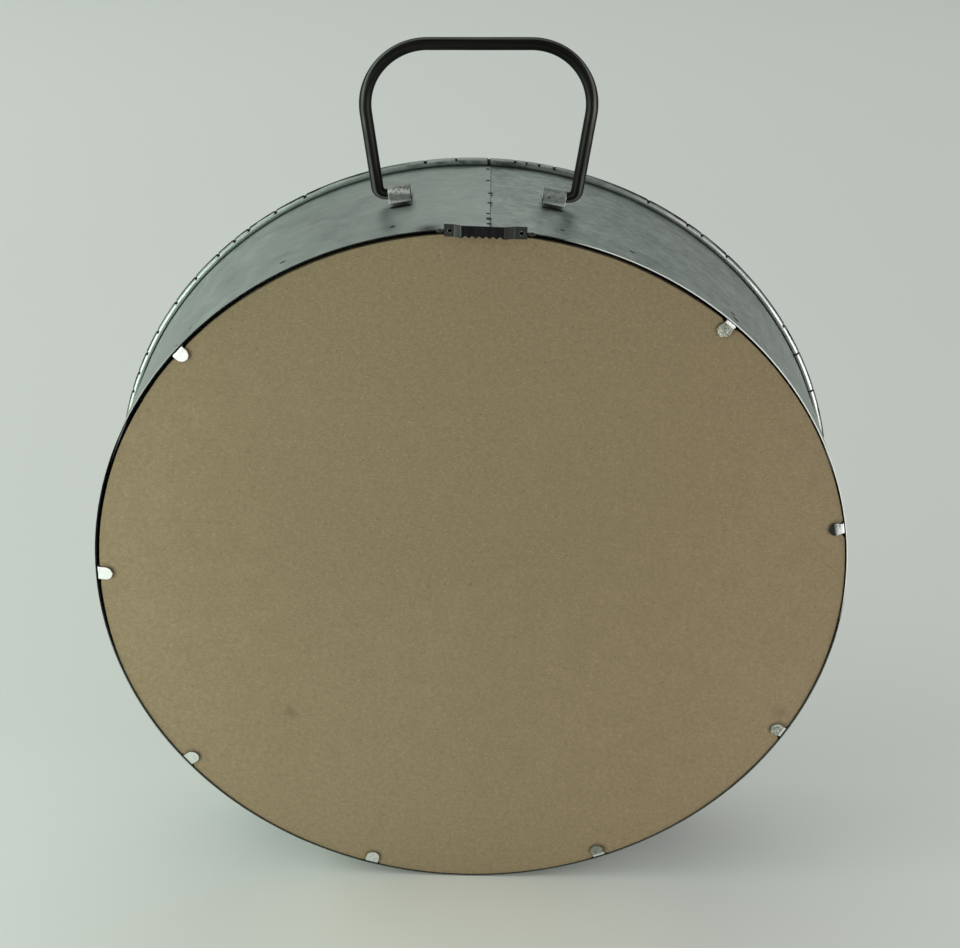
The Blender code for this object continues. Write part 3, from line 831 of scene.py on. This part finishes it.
# Each tab: angle in degrees, reach in mm, width of the neck as a share, lift of the tip in tenths of a mm,
# crumpling in mm, seed, light tone and dark tone, which paint how much light each tab reflects, share of
# dark, the painted highlight on the root and the painted shade at the tip.
TABS = (
    (50.3, 8.7, 0.80, 0.6, 0.55, 1.7, (0.6, 0.62, 0.52, 1), SHADE, 0.5, WHITE, None),
    (11.0, 7.9, 0.78, 3.0, 0.22, 4.2, PALE, SHADE, 0.3, WHITE, BLACK),
    (-28.0, 7.8, 0.85, 2.5, 0.32, 6.9, (0.6, 0.62, 0.54, 1), SHADE, 0.42, PALE, None),
    (-67.2, 7.8, 0.95, 5.0, 0.22, 8.1, (0.5, 0.52, 0.44, 1), SHADE, 0.45, PALE, DIM),
    (-106.2, 7.4, 1.0, 6.0, 0.04, 2.3, PALE, GREY, 0.3, None, None),
    (-142.8, 7.4, 1.0, 6.0, 0.04, 3.4, PALE, GREY, 0.2, None, None),
    (179.4, 7.8, 1.0, 7.0, 0.06, 5.5, WHITE, PALE, 0.15, None, None),
    (138.3, 6.4, 1.0, 7.0, 0.02, 7.3, WHITE, WHITE, 0.0, None, None),
)


def build_tab(number, angle, reach, neck, lift, crumple, seed, light, dark, share, root_highlight, tip_shade):
    """A clip with its leg inside the band, folded over the board to a round end."""
    leg = BAND_RADIUS - SHEET - 0.0003 - TAB_SHEET / 2
    lie = -0.0003 - TAB_SHEET / 2
    tip = leg - reach * 0.001
    path = [(leg, TAB_LEG, neck), (leg, TAB_LEG / 2, neck), (leg, TAB_LEG / 6, neck)]
    path += [(r, d, neck) for r, d in arc((leg - TAB_BEND, lie + TAB_BEND), TAB_BEND, 0, -pi / 2, 6)]
    flat_end = tip + TAB_HALF_WIDTH
    for k in range(1, 7):
        wide = neck + (1 - neck) * ease(0.15, 1, k / 6)
        path.append((leg - TAB_BEND + (flat_end - leg + TAB_BEND) * k / 6, lie, wide))
    for k in range(1, 15):
        turn = radians(88) * k / 14
        path.append((flat_end - TAB_HALF_WIDTH * sin(turn), lie, cos(turn)))
    rows, distance = [], []
    across = radial(radians(angle) + pi / 2)
    for r, d, narrow in path:
        row = []
        fold = max(0.0, (leg - TAB_BEND - r) / TAB_REACH)
        for k in range(17):
            side = (k / 8 - 1) * TAB_HALF_WIDTH * narrow
            push = crumple * 0.001 * noise(Vector((r * 700, side * 700, seed)))
            push += crumple * 0.0007 * noise(Vector((r * 1700, side * 1700, seed + 5)))
            push *= ease(0, 0.25, fold)
            rise = lift * 0.0001 * fold + abs(push)
            edge = 0.0001 * noise(Vector((r * 900, k, seed))) * (1 if k in (0, 16) else 0)
            row.append(radial(radians(angle)) * r + across * (side + edge) + Vector((0, d - rise, 0)))
        rows.append(row)
        distance.append(r + d)
    mesh = grid(f"tab_{number}", rows, distance, [k * 0.00046 for k in range(17)])
    # painted highlight on the root's bend and painted shade at the tip
    root = (root_highlight, leg - 0.0024, leg - 0.002) if root_highlight else None
    ending = (tip_shade, tip + 0.0042, tip + 0.0022) if tip_shade else None
    material = bright_sheet(f"tab_zinc_{number}", light, dark, share, 560, root, ending)
    obj = finish_mesh(f"tab_{number}", mesh, material)
    thicken(obj, TAB_SHEET, 0.0001)
    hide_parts(f"retaining_tab_{number}")


# ---- handle and lugs -----------------------------------------------------------------
def handle_path():
    """Points (x, z) of the rod's centreline, from the right pin's end to the left one's."""
    corner = (TOP_HALF_FLAT, HANDLE_HEIGHT - TOP_BEND)
    leg_top = (corner[0] + TOP_BEND * cos(LEG_TILT), corner[1] - TOP_BEND * sin(LEG_TILT))
    foot_x = leg_top[0] - leg_top[1] * tan(LEG_TILT)
    pin_x = foot_x - PIN_BEND * tan((pi / 2 - LEG_TILT) / 2)
    half = [(PIN_END + (pin_x - PIN_END) * i / 6, 0) for i in range(6)]
    bend = arc((pin_x, PIN_BEND), PIN_BEND, -pi / 2, -LEG_TILT, 14)
    half += bend
    end = bend[-1]
    leg = (leg_top[0] - end[0], leg_top[1] - end[1])
    half += [(end[0] + leg[0] * i / 14, end[1] + leg[1] * i / 14) for i in range(1, 14)]
    half += arc(corner, TOP_BEND, -LEG_TILT, pi / 2, 30)
    half += [(TOP_HALF_FLAT * (1 - i / 10), HANDLE_HEIGHT) for i in range(1, 11)]
    return half + [(-x, z) for x, z in reversed(half[:-1])]


def build_handle(material):
    points = handle_path()
    count, sides = len(points), 32
    along = lengths([(x, z, 0) for x, z in points])
    rows = []
    for i, (x, z) in enumerate(points):
        before, after = points[max(0, i - 1)], points[min(count - 1, i + 1)]
        direction = Vector((after[0] - before[0], 0, after[1] - before[1])).normalized()
        side = Vector((direction.z, 0, -direction.x))
        radius = ROD_RADIUS
        end = min(along[i], along[-1] - along[i])
        radius -= 0.0005 * ease(0.019, 0.011, end)
        if end < 1e-6:
            radius -= 0.0004
        centre = PIVOT + Vector((x, 0, z + x * tan(TOP_TILT) * z / HANDLE_HEIGHT))
        row = []
        for k in range(sides):
            turn = 2 * pi * k / sides
            dent = 0.00003 * noise(Vector((cos(turn) * 2, sin(turn) * 2, along[i] * 90)))
            row.append(centre + (side * cos(turn) + Vector((0, sin(turn), 0))) * (radius + dent))
        rows.append(row)
    mesh = grid("handle", rows, along, [k / sides for k in range(sides + 1)], wrap_columns=True)
    bm = bmesh.new()
    bm.from_mesh(mesh)
    bmesh.ops.holes_fill(bm, edges=bm.edges, sides=0)
    bm.to_mesh(mesh)
    bm.free()
    obj = finish_mesh("handle", mesh, material, "handle")
    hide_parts("bail_handle")


def lug_path(x, ground):
    """(y, z) of the strap's middle at x: foot, loop over the rod, face and free lip."""
    foot = ground + 0.0003 + LUG_SHEET / 2
    loop = ROD_RADIUS + 0.00015 + LUG_SHEET / 2
    axis = (PIVOT.y, PIVOT.z + (LUG_OUTER - x) * tan(LUG_TILT))
    lip = ground + LUG_LIP_GAP
    path = [(axis[0] + LUG_FOOT - k * 0.00175, foot) for k in range(5)]
    path += [
        (axis[0] + loop + 0.0016, foot + 0.0001),
        (axis[0] + loop + 0.0008, foot + 0.0005),
        (axis[0] + loop + 0.0003, foot + 0.0012),
    ]
    path += arc(axis, loop, 0, pi, 18)
    low = (axis[0] - loop - 0.0003, lip + 0.0014)
    path += [(axis[0] - loop - 0.0001 * k, axis[1] + (low[1] - axis[1]) * k / 4) for k in range(1, 4)]
    path += [low, (low[0] - 0.0003, lip + 0.0006), (low[0] - 0.0008, lip)]
    return path


def build_lug(name, node, side, crumple, seed, material):
    """A strap bent over the rod's pin, standing square on the round band."""
    columns = 17
    stations = [LUG_INNER + (LUG_OUTER - LUG_INNER) * k / (columns - 1) for k in range(columns)]
    paths = []
    for k, x in enumerate(stations):
        ground = sqrt(BAND_RADIUS**2 - x**2)
        ragged = 0.00012 if k in (0, columns - 1) else 0
        path = []
        for y, z in lug_path(x, ground):
            high = ease(0.004, 0.008, z - ground)
            push = crumple * noise(Vector((x * 700, y * 700, z * 500 + seed)))
            push += crumple * 0.5 * noise(Vector((x * 1700, y * 900, z * 900 + seed)))
            out = Vector((0, y - PIVOT.y, z - PIVOT.z)).normalized()
            edge = ragged * noise(Vector((y * 800, z * 800, seed + k)))
            lean = x + (z - ground) * tan(LUG_LEAN) + edge
            path.append(Vector((side * lean, y, z)) + out * abs(push) * high)
        paths.append(path)
    rows = [list(row) for row in zip(*paths)]
    distance = lengths(paths[0])
    mesh = grid(name, rows, distance, stations)
    obj = finish_mesh(name, mesh, material, smooth=radians(60))
    thicken(obj, LUG_SHEET, 0.00015)
    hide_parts(node)


# ---- hanger and its welds ------------------------------------------------------------
def dress_hanger(material, rim_material):
    """The CAD strip keeps its shape: its edges are eased, and each nail hole gets a rolled rim."""
    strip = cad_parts["sawtooth_hanger"]
    strip.data.materials.clear()
    strip.data.materials.append(material)
    weld = strip.modifiers.new("weld", "WELD")
    weld.merge_threshold = 0.00001
    edges = strip.modifiers.new("edges", "BEVEL")
    edges.width = 0.00016
    edges.segments = 2
    edges.limit_method = "ANGLE"
    edges.angle_limit = radians(40)
    low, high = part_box("sawtooth_hanger")
    bm = bmesh.new()
    for x in NAIL_HOLES:
        z = (low.z + high.z) / 2 + HANGER_SLOPE * (x - (low.x + high.x) / 2)
        centre = Vector((x, HANGER_FOOT_DEPTH, z))
        rings = []
        for k in range(24):
            turn = 2 * pi * k / 24
            out = radial(turn)
            lump = 1 + 0.25 * noise(Vector((cos(turn) * 2, sin(turn) * 2, x * 300)))
            ring = []
            for m in range(8):
                a = 2 * pi * m / 8
                raised = Vector((0, -0.00016 * sin(a) * lump, 0))
                ring.append(bm.verts.new(centre + out * (NAIL_HOLE_RIM + 0.00014 * cos(a)) + raised))
            rings.append(ring)
        for a, b in zip(rings, rings[1:] + rings[:1]):
            for m in range(8):
                bm.faces.new((a[m], b[m], b[(m + 1) % 8], a[(m + 1) % 8]))
    mesh = bpy.data.meshes.new("nail_hole_rims")
    bm.to_mesh(mesh)
    bm.free()
    obj = finish_mesh("nail_hole_rims", mesh, rim_material)


def build_weld(name, node, seed, material):
    """An uneven drop of weld metal on the band's edge."""
    low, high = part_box(node)
    centre, half = (low + high) / 2, (high - low) / 2
    bm = bmesh.new()
    bmesh.ops.create_icosphere(bm, subdivisions=4, radius=1)
    for vert in bm.verts:
        swell = 1 + 0.22 * noise(vert.co * 2.2 + Vector((seed, 0, 0))) + 0.08 * noise(vert.co * 7)
        place = vert.co * swell
        vert.co = centre + Vector((place.x * half.x, place.y * half.y, place.z * half.z)) * 0.96
    mesh = bpy.data.meshes.new(name)
    bm.to_mesh(mesh)
    bm.free()
    obj = finish_mesh(name, mesh, material)
    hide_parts(node)


# ---- stage ---------------------------------------------------------------------------
def build_floor():
    """A wide pale floor with a painted pool of light, paler and a little warmer, before the board. It touches
    the drum's back edge and its bead.
    """
    made, tree, shader = new_material("floor")
    where = coordinates(tree)
    tone = blend(tree, cloud(tree, where, 1.5, 3), (0.620, 0.652, 0.615, 1), (0.642, 0.672, 0.635, 1))
    # painted pool of light before the board
    tone = blend(tree, spot(tree, where, (0, -0.11, 0), 0.15), tone, (0.70, 0.73, 0.66, 1))
    plug(tree, shader.inputs["Base Color"], tone)
    shader.inputs["Roughness"].default_value = 0.85
    shader.inputs["Specular IOR Level"].default_value = 0.2
    mesh = bpy.data.meshes.new("floor")
    mesh.from_pydata([(-14, -14, 0), (14, -14, 0), (14, 14, 0), (-14, 14, 0)], [], [(0, 1, 2, 3)])
    mesh.materials.append(made)
    floor = bpy.data.objects.new("floor", mesh)
    bpy.context.scene.collection.objects.link(floor)
    floor.rotation_euler = (radians(-2.2), 0, 0)
    floor.location = (0, 0.0486, -0.20525)


def add_light(name, place, target, size, power, colour):
    """A rectangular soft light that faces a target."""
    light = bpy.data.lights.new(name, "AREA")
    light.shape = "RECTANGLE"
    light.size, light.size_y = size
    light.energy = power
    light.color = colour
    obj = bpy.data.objects.new(name, light)
    bpy.context.scene.collection.objects.link(obj)
    obj.location = place
    obj.rotation_euler = (Vector(target) - Vector(place)).to_track_quat("-Z", "Y").to_euler()


GREENISH, PINKISH, NEUTRAL = (0.92, 1.0, 0.945), (1.0, 0.885, 0.945), (0.975, 1.0, 0.985)


def build_studio():
    add_light("long_softbox_left", (-2.4, 1.0, 1.4), (0, 1.0, 0), (4.0, 1.2), 34.5, GREENISH)
    add_light("long_softbox_right", (2.4, 1.0, 1.4), (0, 1.0, 0), (4.0, 1.2), 11.2, PINKISH)
    add_light("far_overhead", (0, 3.0, 2.6), (0, 2.6, 0), (3.0, 3.0), 22.5, NEUTRAL)
    add_light("high_left", (-1.6, -0.6, 2.0), (0, 0, 0), (1.6, 1.6), 9.0, GREENISH)
    add_light("low_card_left", (-0.95, -0.6, 0), (0, 0, -0.05), (0.5, 0.4), 7.8, GREENISH)
    add_light("low_card_right", (0.95, -0.6, 0), (0, 0, -0.05), (0.5, 0.4), 5.5, PINKISH)
    world = bpy.data.worlds.new("studio")
    world.use_nodes = True
    background = world.node_tree.nodes["Background"]
    background.inputs["Color"].default_value = (0.412, 0.424, 0.413, 1)
    background.inputs["Strength"].default_value = 1.0
    bpy.context.scene.world = world
    bpy.context.scene.view_settings.view_transform = "Standard"


CAMERA_PLACE = (0.0065, -0.83956, 0.51212)
CAMERA_TURN = (radians(0.167), radians(27.942), radians(1.0))    # yaw, pitch and roll
CAMERA_LENS = 67.87


def build_camera():
    """A long lens behind and above the drum, with a slight roll."""
    yaw, pitch, roll = CAMERA_TURN
    right = Vector((cos(yaw), sin(yaw), 0))
    forward = Vector((-cos(pitch) * sin(yaw), cos(pitch) * cos(yaw), -sin(pitch)))
    up = right.cross(forward)
    turned_right = right * cos(roll) + up * sin(roll)
    turned_up = up * cos(roll) - right * sin(roll)
    data = bpy.data.cameras.new("camera")
    data.sensor_width = 36
    data.lens = CAMERA_LENS
    data.clip_start, data.clip_end = 0.01, 100
    camera = bpy.data.objects.new("camera", data)
    bpy.context.scene.collection.objects.link(camera)
    turned = Matrix((turned_right, turned_up, -forward)).transposed().to_4x4()
    camera.matrix_world = Matrix.Translation(CAMERA_PLACE) @ turned
    bpy.context.scene.camera = camera


# ---- everything ----------------------------------------------------------------------
zinc = galvanised("galvanised", (0.19, 0.228, 0.205, 1), (0.36, 0.412, 0.372, 1))
# the spot welds' scorch, also used for the painted shadows under the lugs' lips
scorch_and_lip_shadow = burnt_metal("spot_weld")
# a few painted glints on the weld drops
weld = burnt_metal("weld", glints=0.2)
build_band(zinc)
build_lap(zinc)
build_seam_marks(burnt_metal("rivet"))
build_spot_welds(scorch_and_lip_shadow)
ledge_zinc = galvanised("ledge", (0.25, 0.285, 0.262, 1), (0.4, 0.445, 0.41, 1))
build_panels(hardboard(), silvered_glass(), backing_paint(), ledge_zinc)
for number, values in enumerate(TABS, 1):
    build_tab(number, *values)
build_handle(dark_rod())
# the left strap's bright bend tones paint the highlight it catches; the right strap's bend matches its face
left_zinc = lug_zinc(
    "lug_left_zinc",
    bend=(0.7, 0.73, 0.69, 1),
    bend_dark=(0.15, 0.155, 0.14, 1),
    face=(0.32, 0.35, 0.32, 1),
    face_dark=(0.17, 0.19, 0.17, 1),
    stain=(-0.0440, 0.0405, 0.2052),
)
build_lug("lug_strap_left", "lug_left", -1, 0.00035, 2.0, left_zinc)
right_zinc = lug_zinc(
    "lug_right_zinc",
    bend=(0.36, 0.4, 0.37, 1),
    bend_dark=(0.22, 0.24, 0.22, 1),
    face=(0.36, 0.4, 0.37, 1),
    face_dark=(0.22, 0.245, 0.225, 1),
    stain=(0.0366, 0.0408, 0.2050),
)
build_lug("lug_strap_right", "lug_right", 1, 0.00006, 9.0, right_zinc)
# the nail-hole rims carry many painted glints
dress_hanger(black_steel(), burnt_metal("hole_rim", (0.02, 0.02, 0.02, 1), (0.35, 0.36, 0.35, 1), glints=0.9))
build_weld("weld_left", "hanger_weld_left", 1.0, weld)
build_weld("weld_right", "hanger_weld_right", 5.0, weld)
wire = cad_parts["rim_wire"]
wire.data.materials.clear()
wire.data.materials.append(bright_sheet("wire", (0.4, 0.41, 0.4, 1), (0.2, 0.21, 0.2, 1), 0.4))
build_floor()
build_studio()
build_camera()
